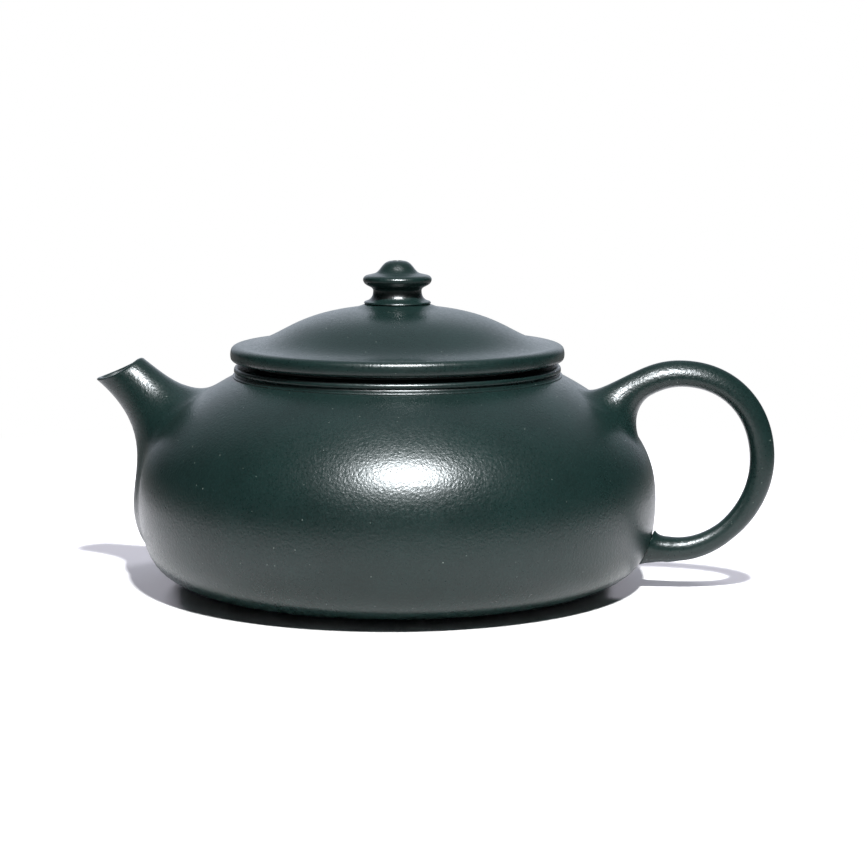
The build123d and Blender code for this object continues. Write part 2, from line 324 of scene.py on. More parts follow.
# ---------------------------------------------------------------- flared roots
FLARE_ROWS = 34
FLARE_EASE = 1.7            # how much closer the loops of a flare lie near the belly
FLARE_TUCK = 1.0            # how far a flare's first loop reaches out under the skin
FLARE_SINK = 0.07           # and how deep it lies there
TUCK_DEPTH = 0.12           # depth of the loops that close a root under the skin


def roll_angles():
    """Angles of the points of a loop, from its upper point round over its +Y side."""
    return np.linspace(0, 2 * math.pi, ROLL_STEPS, endpoint=False)


def ellipse_loop(upper, under, half_width):
    """Loop through an upper and an under point of the XZ plane, starting at the upper one."""
    upper, under = np.array(upper, float), np.array(under, float)
    centre, arm = (upper + under) / 2, (upper - under) / 2
    u = roll_angles()
    x = centre[0] + arm[0] * np.cos(u)
    z = centre[1] + arm[1] * np.cos(u)
    return np.stack([x, half_width * np.sin(u), z], -1)


def root_flare(loop, heading, side, landing, pull_up, pull_down):
    """Loops from the belly's skin up to the end of a roll, and where the first one lands.

    loop is the roll's last loop, heading its unit directions towards the belly, side is the
    belly angle of the roll, and landing is (middle height, reach up, reach down, half width).
    The pulls say how far the flare hugs the skin and follows the roll, above and below.
    """
    height, up, down, width = landing
    u = roll_angles()
    run = run_at_height(height) - np.where(np.cos(u) > 0, up, down) * np.cos(u)
    radius = np.interp(run, BELLY_RUN, BELLY_SKIN[:, 0])
    turn_sign = 1.0 if math.cos(side) > 0 else -1.0
    turn = side + turn_sign * width * np.sin(u) / radius
    foot = on_belly(turn, run)
    normal = belly_normal(turn, run)
    toward = loop - foot
    flat = toward - normal * np.sum(toward * normal, axis=1)[:, None]
    flat /= np.linalg.norm(flat, axis=1)[:, None]
    reach = np.linalg.norm(toward, axis=1)[:, None]
    buried = foot - flat * FLARE_TUCK - normal * FLARE_SINK
    above = ((1 + np.cos(u)) / 2)[:, None]
    pull = [pull_down[k] + (pull_up[k] - pull_down[k]) * above for k in range(2)]
    p1 = foot + flat * reach * pull[0]
    p2 = loop + heading * reach * pull[1]
    loops = [buried]
    for t in np.linspace(0, 1, FLARE_ROWS)[:-1] ** FLARE_EASE:
        near_skin = (1 - t) ** 3 * foot + 3 * (1 - t) ** 2 * t * p1
        near_roll = 3 * (1 - t) * t ** 2 * p2 + t ** 3 * loop
        loops.append(near_skin + near_roll)
    return loops, turn, run


def under_skin(turn, run, side, middle, inner_share, rows=4):
    """Loops just under the belly's skin, from a root's outline in to a share of its size."""
    return [
        on_belly(side + (turn - side) * share, middle + (run - middle) * share, -TUCK_DEPTH)
        for share in np.linspace(1.0, inner_share, rows)
    ]


# ---------------------------------------------------------------- spout
SPOUT_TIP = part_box("spout")[0].x / MM + 0.12
SPOUT_UPPER = [(-60.9, 51.0), (-58.3, 49.1), (-54.6, 45.9), (-51.2, 44.85)]
SPOUT_UNDER = [(SPOUT_TIP, 45.8), (-68.5, 42.9), (-66.1, 40.2), (-64.35, 36.9)]
SPOUT_HALF_WIDTH = [(5.1,), (5.3,), (5.9,), (7.2,)]
SPOUT_SIDE = math.pi            # belly angle of the spout
SPOUT_LANDING = (33.0, 21.3, 35.0, 24.0)
SPOUT_PULLS = ((0.40, 0.50), (0.54, 0.38))
SPOUT_HOLE_SHARE = 0.31         # size of the hole in the belly against the flare's outline
SPOUT_WALL = (1.25, 2.0)        # at the lip and where the flare starts
SPOUT_LIP_SAG = (0.2, 0.95)     # how far the cut across the mouth dips on its +Y and -Y sides
SPOUT_SAG_REACH = 0.25          # share of the spout over which that dip fades out
SPOUT_STEPS = 26
SPOUT_POINTS = 100              # steps along the curves that the spout's loops are read from
RIM_BULGE = 0.35                # how far the rim's round stands out against its thickness
BORE_HEADING = (0.72, 0.0, -0.69)
BORE_REACH = (-4.0, 9.0)        # how far the hole's cutter reaches either side of the skin


def spout_loop(t, wall=0.0):
    """Loop of the spout at t from the lip (0) to the flare (1), drawn in by a wall."""
    curves = (SPOUT_UPPER, SPOUT_UNDER, SPOUT_HALF_WIDTH)
    at = round(SPOUT_POINTS * t)
    upper, under, half_width = (bezier(curve, SPOUT_POINTS + 1)[at] for curve in curves)
    arm = (upper - under) / np.linalg.norm(upper - under)
    loop = ellipse_loop(upper - arm * wall, under + arm * wall, half_width[0] - wall)
    u = roll_angles()
    sag = np.where(np.sin(u) > 0, *SPOUT_LIP_SAG)
    dip = sag * np.sin(u) ** 2 * max(0.0, 1 - t / SPOUT_SAG_REACH) ** 2
    down = np.array([arm[1], 0.0, -arm[0]])
    return loop + np.outer(dip, down)


def make_spout():
    """The spout, the number of its first face inside, and its hole's loop in the belly."""
    steps = np.linspace(0, 1, SPOUT_STEPS)
    outer = [spout_loop(t) for t in steps[::-1]]
    heading = spout_loop(steps[-1]) - spout_loop(steps[-2])
    heading /= np.linalg.norm(heading, axis=1)[:, None]
    flare, turn, run = root_flare(outer[0], heading, SPOUT_SIDE, SPOUT_LANDING, *SPOUT_PULLS)
    inner = [spout_loop(t, SPOUT_WALL[0] + (SPOUT_WALL[1] - SPOUT_WALL[0]) * t) for t in steps]
    rim = rim_loops(outer[-2], outer[-1], inner[0])
    middle = run_at_height(SPOUT_LANDING[0])
    hidden = under_skin(turn, run, SPOUT_SIDE, middle, SPOUT_HOLE_SHARE)
    bore = bore_loops(inner[-1], hidden[-1])
    loops = hidden[::-1] + flare + outer + rim + inner + bore
    vertices, faces = loops_mesh(loops, capped=False)
    inside_from = ROLL_STEPS * (len(loops) - len(inner) - len(bore))
    piece = new_piece("spout_clay", vertices, faces, "pot", "spout")
    return piece, inside_from, hidden[-1]


def rim_loops(before, outer, inner, rows=5):
    """Rounds the rim over from the outer loop to the inner one."""
    ahead_of_rim = outer - before
    ahead_of_rim /= np.linalg.norm(ahead_of_rim, axis=1)[:, None]
    thickness = np.linalg.norm(inner - outer, axis=1)[:, None]
    loops = []
    for t in np.linspace(0, 1, rows + 2)[1:-1]:
        bulge = math.sin(math.pi * t)
        across = (1 - math.cos(math.pi * t)) / 2
        loops.append(outer + (inner - outer) * across + ahead_of_rim * thickness * RIM_BULGE * bulge)
    return loops


def bore_loops(start, end, rows=8):
    """Loops of the tea's way from the spout's narrow part to the hole in the belly."""
    return [start + (end - start) * t for t in np.linspace(0, 1, rows)[1:-1]]


def bore_cutter(spout_hole):
    """Closed plug that cuts the spout's hole through the belly wall."""
    loops = [spout_hole + np.array(BORE_HEADING) * reach for reach in BORE_REACH]
    vertices, faces = loops_mesh(loops, capped=True)
    mesh = bpy.data.meshes.new("cutter")
    mesh.from_pydata((vertices * MM).tolist(), [], faces)
    mesh.update()
    cutter = bpy.data.objects.new("cutter", mesh)
    bpy.context.scene.collection.objects.link(cutter)
    return cutter


# ---------------------------------------------------------------- handle
HANDLE_RADII = (3.2, 3.0, 2.80, 2.42, 2.75, 3.0)  # root, top, outermost, waist, lowest, before the end
HANDLE_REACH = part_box("handle")[1].x / MM - HANDLE_RADII[2] - 0.02
HANDLE_ROOT = (57.6, 47.75)
HANDLE_TOP = (65.4, 49.68)
HANDLE_OUTERMOST = (HANDLE_REACH, 30.3)
HANDLE_LOWEST = (65.4, 9.25)
HANDLE_TAIL = (62.6, 9.1)           # where the roll starts to spread towards its cut end
HANDLE_BENDS = (                    # start, end, heading and pull at the start and at the end, steps
    (HANDLE_ROOT, HANDLE_TOP, (26.0, 2.6, 180.0, 3.0), 14),
    (HANDLE_TOP, HANDLE_OUTERMOST, (0.0, 11.0, 90.0, 11.3), 40),
    (HANDLE_OUTERMOST, HANDLE_LOWEST, (-90.0, 10.8, 4.0, 9.4), 40),
    (HANDLE_LOWEST, HANDLE_TAIL, (184.0, 1.3, 0.0, 1.3), 14),
)
HANDLE_CREST = 0.3                  # how much narrower the roll is on its upper side
HANDLE_WAIST = 0.6                  # where the roll is thinnest between outermost and lowest
HANDLE_CUT = ((56.2, 5.35), (59.9, 13.5), 3.3)  # under and upper point and half width of the cut
HANDLE_CUT_SINK = 0.2               # how deep the cut end is pressed into the belly
HANDLE_SPREAD_STEPS = 12
HANDLE_SIDE = 0.0                   # belly angle of the handle
HANDLE_LANDING = (40.2, 10.9, 10.5, 9.5)
HANDLE_PULLS = ((0.30, 0.62), (0.52, 0.30))
HANDLE_CAP_SHARE = 0.1              # size of the cap that closes the roll under the skin


def make_handle():
    """The handle's roll with its flared root and its slanting cut end."""
    runs = [bend(*run) for run in HANDLE_BENDS]
    centres = np.vstack([runs[0]] + [run[1:] for run in runs[1:]])
    marks = np.cumsum([0] + [len(run) - 1 for run in runs])
    waist = marks[2] + HANDLE_WAIST * (marks[3] - marks[2])
    radii = np.interp(np.arange(len(centres)), np.sort([*marks, waist]), HANDLE_RADII)
    headings = np.gradient(centres, axis=0)
    headings /= np.linalg.norm(headings, axis=1)[:, None]
    u = roll_angles()
    loops = []
    for centre, radius, heading in zip(centres, radii, headings):
        up = np.array([-heading[1], heading[0]])
        x = centre[0] + radius * up[0] * np.cos(u)
        z = centre[1] + radius * up[1] * np.cos(u)
        narrowing = 1 - HANDLE_CREST * max(up[1], 0.0) * np.cos(u)
        loops.append(np.stack([x, radius * np.sin(u) * narrowing, z], -1))
    heading = np.zeros((ROLL_STEPS, 3))
    heading[:, 0], heading[:, 2] = -headings[0][0], -headings[0][1]
    flare, turn, run = root_flare(loops[0], heading, HANDLE_SIDE, HANDLE_LANDING, *HANDLE_PULLS)
    middle = run_at_height(HANDLE_LANDING[0])
    hidden = under_skin(turn, run, HANDLE_SIDE, middle, HANDLE_CAP_SHARE)
    all_loops = hidden[::-1] + flare + loops + handle_end_loops(loops[-1])
    vertices, faces = loops_mesh(all_loops, capped=True)
    faces = [face[::-1] for face in faces]
    return new_piece("handle_clay", vertices, faces, "pot", "handle")


def handle_end_loops(last):
    """Spreads the roll to the slanting knife cut that is pressed on the belly, and closes it."""
    cut = ellipse_loop(*HANDLE_CUT)
    centre, cut_centre = last.mean(axis=0), cut.mean(axis=0)
    shape, cut_shape = last - centre, cut - cut_centre
    loops = []
    for t in np.linspace(0, 1, HANDLE_SPREAD_STEPS)[1:]:
        loops.append(centre + (cut_centre - centre) * t + shape + (cut_shape - shape) * t ** 2)
    for share, sink_share in ((0.97, 0.6), (0.9, 1.0), (0.5, 1.0), (HANDLE_CAP_SHARE, 1.0)):
        sunk = np.array([-HANDLE_CUT_SINK * sink_share, 0.0, 0.0])
        loops.append(cut_centre + cut_shape * share + sunk)
    return loops


# ---------------------------------------------------------------- base, rings and flange
BASE_CROWN_RADIUS = 17.0    # how far out the base stays level before it bends to the foot

FACE_EASE = 0.1             # the shoulder ring's face stands back and the mouth ring's forward by this
RING_TUCK = 0.1             # how far the shoulder ring is pressed into the belly
RING_TUCK_WIDTH = 1.0
RING_BEAD = 0.12            # fine bead round the foot of the shoulder ring
RING_BEAD_HEIGHT = 0.28
LIP_WIDTH = 1.0             # rounded lip of the mouth ring
LIP_HEIGHT = 1.1
LIP_DROP = 0.2              # how far the lip's inner end lies under the lid's seat
SEAT_LIP = 34.6             # how far out the lid rests on the mouth ring

SEAT_RADIUS = 30.0          # where the lid's seat ends on the flange's thick root
FLANGE_THICKNESS = 2.2


def cornered(*corners):
    """Closed outline of straight runs; each corner is its radius, height and rounding."""
    points = [corner[:2] for corner in corners]
    runs = [line(point, following) for point, following in zip(points, points[1:] + points[:1])]
    return joined(runs, [corner[2] for corner in corners])


def make_base():
    """The base disc, domed up clear of the table, turned from its two skins."""
    underside, upside = BASE_TOP - WALL, BASE_RECESS + WALL
    outline = np.vstack([
        bezier([(0.0, underside), (BASE_CROWN_RADIUS, underside), (BASE_OPENING, BASE_RECESS)], 24),
        line((BASE_OPENING, upside)),
        bezier([(BASE_OPENING, upside), (BASE_CROWN_RADIUS, BASE_TOP), (0.0, BASE_TOP)], 24)[1:],
    ])
    return lathe("base", outline, "pot", "base_disc", closed=False)


def shoulder_outline():
    """The shoulder ring: a plain face over a bead that is pressed into the belly."""
    low, bead_top = SHOULDER_HEIGHT - RING_TUCK, SHOULDER_HEIGHT + RING_BEAD_HEIGHT
    bead = SHOULDER_RADIUS + RING_BEAD
    face = SHOULDER_RING_RADIUS - FACE_EASE
    tuck = face - RING_TUCK_WIDTH
    return cornered(
        (MOUTH_RADIUS, SHOULDER_HEIGHT, 0.0),
        (tuck, SHOULDER_HEIGHT, 0.0),
        (tuck, low, 0.0),
        (bead, low, 0.14),
        (bead, bead_top, 0.0),
        (face, bead_top, 0.12),
        (face, SHOULDER_RING_TOP, 0.0),
        (MOUTH_RADIUS, SHOULDER_RING_TOP, 0.0),
    )


def mouth_outline():
    """The mouth ring, with a rounded lip outside the seat."""
    lip = SHOULDER_RING_RADIUS + FACE_EASE
    lip_foot = MOUTH_RING_TOP - LIP_HEIGHT
    lip_end = (lip - LIP_WIDTH, MOUTH_RING_TOP - LIP_DROP)
    return joined(
        [
            line((MOUTH_RADIUS, SHOULDER_RING_TOP), (lip, SHOULDER_RING_TOP)),
            line((lip, SHOULDER_RING_TOP), (lip, lip_foot)),
            bezier([(lip, lip_foot), (lip, lip_foot + 0.6), (lip - 0.45, lip_end[1] - 0.05), lip_end], 16),
            line(lip_end, (SEAT_LIP, MOUTH_RING_TOP)),
            line((SEAT_LIP, MOUTH_RING_TOP), (MOUTH_RADIUS, MOUTH_RING_TOP)),
            line((MOUTH_RADIUS, MOUTH_RING_TOP), (MOUTH_RADIUS, SHOULDER_RING_TOP)),
        ],
        [0.15, 0.0, 0.0, 0.0, 0.3, 0.0],
    )


def make_rings():
    """The two rings of the mouth, and the ring of the lid that rests on them."""
    seat = cornered(
        (SEAT_RADIUS, MOUTH_RING_TOP, 0.0),
        (SEAT_LIP, MOUTH_RING_TOP, 0.2),
        (SEAT_LIP, LID_UNDERSIDE, 0.0),
        (SEAT_RADIUS, LID_UNDERSIDE, 0.0),
    )
    return [
        lathe("shoulder", shoulder_outline(), "pot", "shoulder_ring"),
        lathe("mouth", mouth_outline(), "pot", "mouth_ring"),
        lathe("lid_seat", seat, "lid", "lid_seat_ring"),
    ]


def make_flange():
    """The lid's skirt, with a thick root inside the seat."""
    inner = FLANGE_RADIUS - FLANGE_THICKNESS
    outline = cornered(
        (inner, FLANGE_LOW, 0.5),
        (FLANGE_RADIUS, FLANGE_LOW, 0.9),
        (FLANGE_RADIUS, MOUTH_RING_TOP, 0.0),
        (SEAT_RADIUS, MOUTH_RING_TOP, 0.0),
        (SEAT_RADIUS, LID_UNDERSIDE, 0.0),
        (inner, LID_UNDERSIDE, 0.0),
    )
    return lathe("flange", outline, "lid", "lid_flange")


# ---------------------------------------------------------------- lid and knob
LID_THICKNESS = 2.8
LID_EDGE = 3.6
LID_SIDE = LID_RADIUS - 0.05
LID_RIM_TOP = LID_UNDERSIDE + LID_EDGE
LID_FLAT_RADIUS = 35.8      # where the lid's flare meets the flat of the rim
LID_FLAT_WIDTH = 0.5
LID_HOLLOW_RADIUS = 29.0
LID_HOLLOW_BENDS = (150.0, 8.0, -4.0, 14.0)  # heading and pull at the hollow's edge and at its top
LID_CROWN_RADIUS = 7.4
LID_CROWN_TOP = LID_DOME_TOP - 0.3
LID_CROWN_BENDS = (-5.1, 18.3, 174.0, 9.3)   # heading and pull beside the knob and at the flat
COVE_HEIGHT = 0.7           # small cove of clay that beds the knob on the lid
COVE_REACH = 3.2

KNOB_NECK_RADIUS = LID_CROWN_RADIUS - 0.25
KNOB_BASE_RADIUS = 7.7
KNOB_BASE_LOW = LID_CROWN_TOP + COVE_HEIGHT + 0.1
KNOB_BASE_TOP = 65.25
KNOB_WAIST_RADIUS = 5.6
KNOB_WAIST_TOP = 67.7
KNOB_DISC_FOOT = (7.1, 69.0)    # radius and height, as for the next two
KNOB_DISC_TOP = (6.9, 71.3)
KNOB_BUTTON_FOOT = (4.9, 71.85)
KNOB_BUTTON_SIDE = (3.3, 73.6)


def lid_crown():
    """The lid's skin from the knob out to the flat of the rim, with a cove beside the knob."""
    skin = bend((LID_CROWN_RADIUS, LID_CROWN_TOP), (LID_FLAT_RADIUS, LID_RIM_TOP), LID_CROWN_BENDS, 90)
    into_cove = np.clip(1 - (skin[:, 0] - LID_CROWN_RADIUS) / COVE_REACH, 0, 1)
    skin[:, 1] += COVE_HEIGHT * into_cove ** 2
    return skin


def lid_edge():
    """The rounded rim from its flat top down its side to the underside."""
    shoulder = (LID_SIDE - 0.12, LID_RIM_TOP - 1.25)
    heel = (LID_SIDE - 0.1, LID_UNDERSIDE + 0.75)
    flat_end = (LID_FLAT_RADIUS + LID_FLAT_WIDTH, LID_RIM_TOP)
    return np.vstack([
        bezier([flat_end, (LID_SIDE - 0.35, LID_RIM_TOP), shoulder], 12),
        bezier([shoulder, (LID_SIDE, LID_RIM_TOP - 1.9), (LID_SIDE, LID_UNDERSIDE + 1.2), heel], 12)[1:],
        bezier([heel, (LID_SIDE - 0.28, LID_UNDERSIDE), (LID_SIDE - 1.2, LID_UNDERSIDE)], 8)[1:],
    ])


def make_lid():
    """The lid's dome with its rim and its hollow, pierced by the vent."""
    edge = lid_edge()
    hollow_top = (VENT_RADIUS, LID_DOME_TOP - LID_THICKNESS)
    outline = joined(
        [
            line((VENT_RADIUS, LID_DOME_TOP), (LID_CROWN_RADIUS, LID_CROWN_TOP + COVE_HEIGHT)),
            lid_crown(),
            line((LID_FLAT_RADIUS, LID_RIM_TOP), tuple(edge[0])),
            edge,
            line(tuple(edge[-1]), (LID_HOLLOW_RADIUS, LID_UNDERSIDE)),
            bend((LID_HOLLOW_RADIUS, LID_UNDERSIDE), hollow_top, LID_HOLLOW_BENDS, 40),
            line(hollow_top, (VENT_RADIUS, LID_DOME_TOP)),
        ],
        [0.0, 0.0, 0.0, 0.0, 0.0, 0.3, 0.2],
    )
    return lathe("lid_crown", outline[::-1], "lid", "lid_dome")


def make_knob():
    """The turned knob: base, waist, disc and button, pierced by the vent."""
    disc = bezier([KNOB_DISC_FOOT, (8.15, 69.6), (8.3, 71.0), KNOB_DISC_TOP], 20)
    disc[:, 0] = np.minimum(disc[:, 0], KNOB_DISC_RADIUS - 0.02)
    base_top = (KNOB_BASE_RADIUS, KNOB_BASE_TOP)
    waist_top = (KNOB_WAIST_RADIUS, KNOB_WAIST_TOP)
    vent_top = (VENT_RADIUS, KNOB_TOP)
    outline = joined(
        [
            line(
                (VENT_RADIUS, KNOB_FOOT), (KNOB_NECK_RADIUS, KNOB_FOOT),
                (KNOB_NECK_RADIUS, KNOB_BASE_LOW), (KNOB_BASE_RADIUS, KNOB_BASE_LOW),
            ),
            line((KNOB_BASE_RADIUS, KNOB_BASE_LOW), base_top),
            bezier([base_top, (6.3, 65.5), (KNOB_WAIST_RADIUS, 66.25), waist_top], 20),
            bezier([waist_top, (KNOB_WAIST_RADIUS, 68.4), (6.4, 68.6), KNOB_DISC_FOOT], 14),
            disc,
            bezier([KNOB_DISC_TOP, (6.1, 71.5), (5.4, 71.6), KNOB_BUTTON_FOOT], 8),
            bezier([KNOB_BUTTON_FOOT, (4.2, 72.3), (3.8, 73.1), KNOB_BUTTON_SIDE], 10),
            bezier([KNOB_BUTTON_SIDE, (2.7, 74.3), (1.9, KNOB_TOP), vent_top], 12),
            line(vent_top, (VENT_RADIUS, KNOB_FOOT)),
        ],
        [0.0, 0.1, 0.35, 0.0, 0.0, 0.0, 0.0, 0.0, 0.25],
    )
    return lathe("knob_clay", outline, "lid", "knob", steps=KNOB_STEPS)


# ---------------------------------------------------------------- shader nodes
NOISE_LOW, NOISE_HIGH = 0.3, 0.7    # where nearly all of a noise texture's values lie


def plug(tree, value, socket):
    """Sets a socket to a number, or links another node's output to it."""
    if isinstance(value, (int, float)):
        socket.default_value = value
    else:
        tree.links.new(value, socket)


def maths(tree, kind, a, b):
    """A sum or a product of two numbers or outputs."""
    node = tree.nodes.new("ShaderNodeMath")
    node.operation = kind
    plug(tree, a, node.inputs[0])
    plug(tree, b, node.inputs[1])
    return node.outputs[0]


def remap(tree, value, low, high, out_low=0.0, out_high=1.0, smooth=False):
    """Takes low to high of a value to out_low to out_high, and holds it at both ends."""
    node = tree.nodes.new("ShaderNodeMapRange")
    if smooth:
        node.interpolation_type = "SMOOTHSTEP"
    plug(tree, value, node.inputs["Value"])
    plug(tree, low, node.inputs["From Min"])
    plug(tree, high, node.inputs["From Max"])
    plug(tree, out_low, node.inputs["To Min"])
    plug(tree, out_high, node.inputs["To Max"])
    return node.outputs["Result"]


def mixed(tree, share, first, second):
    """Output of two shaders mixed by a share of the second."""
    node = tree.nodes.new("ShaderNodeMixShader")
    plug(tree, share, node.inputs["Fac"])
    plug(tree, first, node.inputs[1])
    plug(tree, second, node.inputs[2])
    return node.outputs[0]


# ---------------------------------------------------------------- materials
GREEN_CLAY = (0.0080, 0.0230, 0.0210)
INSIDE_CLAY = (0.012, 0.024, 0.021)
SPECK_COLOUR = (0.35, 0.42, 0.38, 1)

# Texture scales, in features per metre
CLOUDS = 90                 # mottling of the colour
BURNISH = 40                # uneven polish
PEEL = 1700                 # the skin's fine orange peel
GRIT = 1500
SAND = 2600
DUST = 3200
SPECKS = 620

MOTTLE = 0.12               # strength of the colour's mottling
SAND_TONE = 0.2             # and of its sand
BURNISH_DEPTH = 0.03        # how far the roughness wanders with the burnish
GRIT_DEPTH = 0.05           # and with the grit
SPECK_RADIUS = (0.05, 0.11)     # solid and faded edge of a speck, as shares of its cell
SPECK_CHOICE = (0.72, 0.95)     # the cells whose random value lies above these show their speck
SPECK_STRENGTH = 0.55
DUST_SHARE = 0.15           # depth of the finest bump against the orange peel's


def clay(name, colour, roughness, grain, specks=1.0):
    """Unglazed stoneware: fine sand grain, soft burnish, faint mottling and a few pale specks.

    grain is the depth of the orange peel in millimetres, and specks the strength of the specks.
    """
    material = bpy.data.materials.new(name)
    material.use_nodes = True
    tree = material.node_tree
    nodes, links = tree.nodes, tree.links
    shader = nodes["Principled BSDF"]
    place = nodes.new("ShaderNodeTexCoord").outputs["Object"]

    def field(scale, detail):
        texture = nodes.new("ShaderNodeTexNoise")
        texture.inputs["Scale"].default_value = scale
        texture.inputs["Detail"].default_value = detail
        texture.inputs["Roughness"].default_value = 0.55
        links.new(place, texture.inputs["Vector"])
        return texture.outputs["Fac"]

    def about(middle, reach, value):
        """A noise value taken to a middle value, give or take a reach."""
        return remap(tree, value, NOISE_LOW, NOISE_HIGH, middle - reach, middle + reach)

    def bumped(depth, height):
        node = nodes.new("ShaderNodeBump")
        node.inputs["Strength"].default_value = 1.0
        node.inputs["Distance"].default_value = depth * MM
        links.new(height, node.inputs["Height"])
        return node

    mottle = about(1.0, MOTTLE, field(CLOUDS, 3))
    sand = about(1.0, SAND_TONE, field(SAND, 2))
    base = nodes.new("ShaderNodeRGB")
    base.outputs[0].default_value = (*colour, 1)
    toned = nodes.new("ShaderNodeVectorMath")
    toned.operation = "SCALE"
    links.new(base.outputs[0], toned.inputs[0])
    links.new(maths(tree, "MULTIPLY", mottle, sand), toned.inputs["Scale"])

    cells = nodes.new("ShaderNodeTexVoronoi")
    cells.inputs["Scale"].default_value = SPECKS
    links.new(place, cells.inputs["Vector"])
    chance = nodes.new("ShaderNodeSeparateColor")
    links.new(cells.outputs["Color"], chance.inputs[0])
    near = remap(tree, cells.outputs["Distance"], *SPECK_RADIUS, 1.0, 0.0)
    chosen = remap(tree, chance.outputs[0], *SPECK_CHOICE, 0.0, SPECK_STRENGTH * specks)
    speckled = nodes.new("ShaderNodeMix")
    speckled.data_type = "RGBA"
    links.new(maths(tree, "MULTIPLY", near, chosen), speckled.inputs["Factor"])
    links.new(toned.outputs[0], speckled.inputs[6])
    speckled.inputs[7].default_value = SPECK_COLOUR
    links.new(speckled.outputs[2], shader.inputs["Base Color"])

    polish = about(roughness, BURNISH_DEPTH, field(BURNISH, 2))
    grit = about(0.0, GRIT_DEPTH, field(GRIT, 3))
    links.new(maths(tree, "ADD", polish, grit), shader.inputs["Roughness"])
    shader.inputs["Specular IOR Level"].default_value = 0.5

    peel = bumped(grain, field(PEEL, 1))
    dust = bumped(grain * DUST_SHARE, field(DUST, 2))
    links.new(peel.outputs["Normal"], dust.inputs["Normal"])
    links.new(dust.outputs["Normal"], shader.inputs["Normal"])
    return material


def dress(piece, material):
    """Gives a piece or a CAD object this material alone."""
    piece.data.materials.clear()
    piece.data.materials.append(material)


# ---------------------------------------------------------------- floor
FLOOR_HALF = 4.0            # metres
FLOOR_COLOUR = (0.9, 0.9, 0.91, 1)
FLOOR_ROUGHNESS = 0.8
WHITE = (1, 1, 1, 1)

# As mirrored in the clay, and as the camera sees it
FLOOR_GLOW = (0.24, 1.0)
FLOOR_FADE_START = (0.085, 0.14)    # metres from the pot's axis
FLOOR_FADE_END = (0.28, 0.27)


def make_floor():
    """Plain white sheet that fades into the bright background."""
    mesh = bpy.data.meshes.new("floor")
    corners = [(-1, -1, 0), (1, -1, 0), (1, 1, 0), (-1, 1, 0)]
    mesh.from_pydata([Vector(corner) * FLOOR_HALF for corner in corners], [], [(0, 1, 2, 3)])
    floor = bpy.data.objects.new("floor", mesh)
    bpy.context.scene.collection.objects.link(floor)
    material = bpy.data.materials.new("floor_paper")
    material.use_nodes = True
    tree = material.node_tree
    nodes, links = tree.nodes, tree.links
    shader = nodes["Principled BSDF"]
    shader.inputs["Base Color"].default_value = FLOOR_COLOUR
    shader.inputs["Roughness"].default_value = FLOOR_ROUGHNESS
    shader.inputs["Specular IOR Level"].default_value = 0.0
    sight = nodes.new("ShaderNodeLightPath").outputs["Is Camera Ray"]

    def by_sight(mirrored, seen):
        """One value for rays that a surface mirrors, another for the camera's own."""
        return remap(tree, sight, 0.0, 1.0, mirrored, seen)

    glow = nodes.new("ShaderNodeEmission")
    glow.inputs["Color"].default_value = WHITE
    links.new(by_sight(*FLOOR_GLOW), glow.inputs["Strength"])
    distance = nodes.new("ShaderNodeVectorMath")
    distance.operation = "LENGTH"
    links.new(nodes.new("ShaderNodeTexCoord").outputs["Object"], distance.inputs[0])
    fade = remap(
        tree, distance.outputs["Value"], by_sight(*FLOOR_FADE_START), by_sight(*FLOOR_FADE_END), smooth=True
    )
    paper = mixed(tree, fade, shader.outputs["BSDF"], glow.outputs["Emission"])
    links.new(paper, nodes["Material Output"].inputs["Surface"])
    mesh.materials.append(material)


# ---------------------------------------------------------------- lights and room
CAMERA_TURN = 9.0           # degrees the camera stands round towards the handle
LIGHT_TARGET = (0.0, 0.0, 0.03)
SOFTBOX_COLOUR = (0.96, 1.0, 1.03)
BACK_COLOUR = (0.93, 0.90, 1.0)
ROOM_COLOUR = (0.89, 0.95, 1.08, 1)
ROOM_LEVEL = 0.006
SHEET_LEVEL = 0.65          # bright sheet low behind the pot
SWEEP_LEVEL = 0.42          # softer glow above it


def from_camera_side(place):
    """Turns a place that is given as seen from the camera into the pot's frame."""
    turn = math.radians(CAMERA_TURN)
    x, y, z = place
    return (x * math.cos(turn) - y * math.sin(turn), x * math.sin(turn) + y * math.cos(turn), z)


def around(side, height, distance=1.0):
    """A place at an angle to the right of the camera's side, at an angle above the table."""
    side, height = math.radians(side), math.radians(height)
    level = distance * math.cos(height)
    return from_camera_side((level * math.sin(side), -level * math.cos(side), distance * math.sin(height)))


def area_light(name, place, size, power, colour=(1, 1, 1), glossy=True, diffuse=True):
    """Rectangular softbox at place, turned to the pot; lengths in metres, power in watts."""
    data = bpy.data.lights.new(name, "AREA")
    data.shape = "RECTANGLE"
    data.size, data.size_y = size
    data.energy = power
    data.color = colour
    light = bpy.data.objects.new(name, data)
    light.location = place
    to_pot = Vector(LIGHT_TARGET) - Vector(place)
    light.rotation_euler = to_pot.to_track_quat("-Z", "Y").to_euler()
    light.visible_camera = False
    light.visible_glossy = glossy
    light.visible_diffuse = diffuse
    bpy.context.scene.collection.objects.link(light)
    return light


def fall_on(light, pieces):
    """Lets a light reach these pieces alone."""
    group = bpy.data.collections.new(light.name + "_reach")
    for piece in pieces:
        group.objects.link(piece)
    light.light_linking.receiver_collection = group


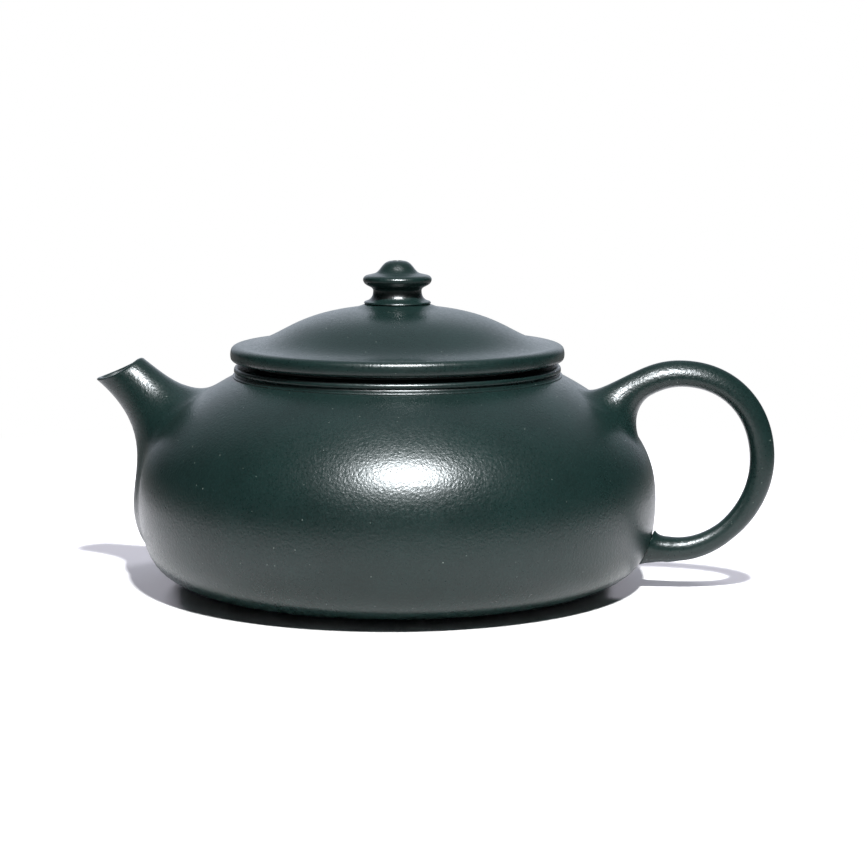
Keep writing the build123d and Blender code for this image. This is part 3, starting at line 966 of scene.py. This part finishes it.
def make_lights(round_pieces, handle):
    """A small key for the shadows, two softboxes for the highlights, two low lights from behind."""
    area_light("key", around(15, 60, 1.25), (0.07, 0.07), 21.5, glossy=False)
    sheen = area_light("sheen", around(5.6, 53.0, 0.47), (0.15, 0.12), 6.2, SOFTBOX_COLOUR, diffuse=False)
    fall_on(sheen, round_pieces)
    strip = area_light("strip", around(-14.0, 53.0, 0.47), (0.22, 0.055), 5.4, SOFTBOX_COLOUR, diffuse=False)
    fall_on(strip, [handle])
    area_light("back_left", around(-153, 21), (0.2, 0.08), 8.0, BACK_COLOUR, glossy=False)
    area_light("back_right", around(143, 21), (0.2, 0.08), 6.0, BACK_COLOUR, glossy=False)


def make_world():
    """White backdrop for the camera; the pot mirrors a dark room with a bright sheet behind it."""
    world = bpy.data.worlds.new("studio")
    bpy.context.scene.world = world
    world.use_nodes = True
    tree = world.node_tree
    nodes, links = tree.nodes, tree.links
    nodes.clear()
    place = nodes.new("ShaderNodeTexCoord").outputs["Generated"]

    def toward(direction, low, high):
        """0 to 1 as a ray turns from cosine low to cosine high of a direction."""
        cosine = nodes.new("ShaderNodeVectorMath")
        cosine.operation = "DOT_PRODUCT"
        cosine.inputs[1].default_value = Vector(direction).normalized()
        links.new(place, cosine.inputs[0])
        return remap(tree, cosine.outputs["Value"], low, high, smooth=True)

    def backdrop(colour, level):
        node = nodes.new("ShaderNodeBackground")
        node.inputs["Color"].default_value = colour
        plug(tree, level, node.inputs["Strength"])
        return node.outputs[0]

    sheet = maths(tree, "MULTIPLY", toward(around(180, 8), 0.80, 0.985), SHEET_LEVEL)
    sweep = maths(tree, "MULTIPLY", toward(around(180, 38), 0.55, 0.95), SWEEP_LEVEL)
    level = maths(tree, "ADD", maths(tree, "ADD", sheet, sweep), ROOM_LEVEL)
    sight = nodes.new("ShaderNodeLightPath").outputs["Is Camera Ray"]
    seen = mixed(tree, sight, backdrop(ROOM_COLOUR, level), backdrop(WHITE, 1.0))
    links.new(seen, nodes.new("ShaderNodeOutputWorld").inputs["Surface"])


# ---------------------------------------------------------------- camera
LENS = 90.35                # millimetres, on a sensor 36 wide
SENSOR = 36.0
CAMERA_PITCH = 8.14         # degrees below level
CAMERA_PLACE = (0.0083, -0.5, 0.106)    # metres, as seen from the camera's side


def make_camera():
    """A long lens a little above the lid, pitched down, half a metre away, on the handle's side."""
    data = bpy.data.cameras.new("camera")
    data.sensor_width = SENSOR
    data.lens = LENS
    data.clip_start = 0.01
    camera = bpy.data.objects.new("camera", data)
    camera.location = from_camera_side(CAMERA_PLACE)
    camera.rotation_euler = (math.radians(90 - CAMERA_PITCH), 0, math.radians(CAMERA_TURN))
    bpy.context.scene.collection.objects.link(camera)
    bpy.context.scene.camera = camera
    bpy.context.scene.view_settings.view_transform = "Standard"


# ---------------------------------------------------------------- build
def build():
    """Every piece of the pot in its clay; returns the round pieces, and the handle."""
    skin = clay("clay_skin", GREEN_CLAY, roughness=0.31, grain=0.06)
    fine = clay("clay_fine", GREEN_CLAY, roughness=0.31, grain=0.035)
    matt = clay("clay_matt", INSIDE_CLAY, roughness=0.6, grain=0.03, specks=0.6)
    spout, inside_from, hole = make_spout()
    belly = make_belly(bore_cutter(hole))
    handle = make_handle()
    turned = [make_lid(), make_knob(), *make_rings()]
    hidden = [make_base(), make_flange()]
    for piece in (belly, spout, handle):
        dress(piece, skin)
    for piece in turned:
        dress(piece, fine)
    for piece in (*hidden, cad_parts["strainer"]):
        dress(piece, matt)
    spout.data.materials.append(matt)
    for face in spout.data.polygons[inside_from:]:
        face.material_index = 1
    return [belly, spout, *turned, *hidden], handle


round_pieces, handle = build()
make_floor()
make_lights(round_pieces, handle)
make_world()
make_camera()
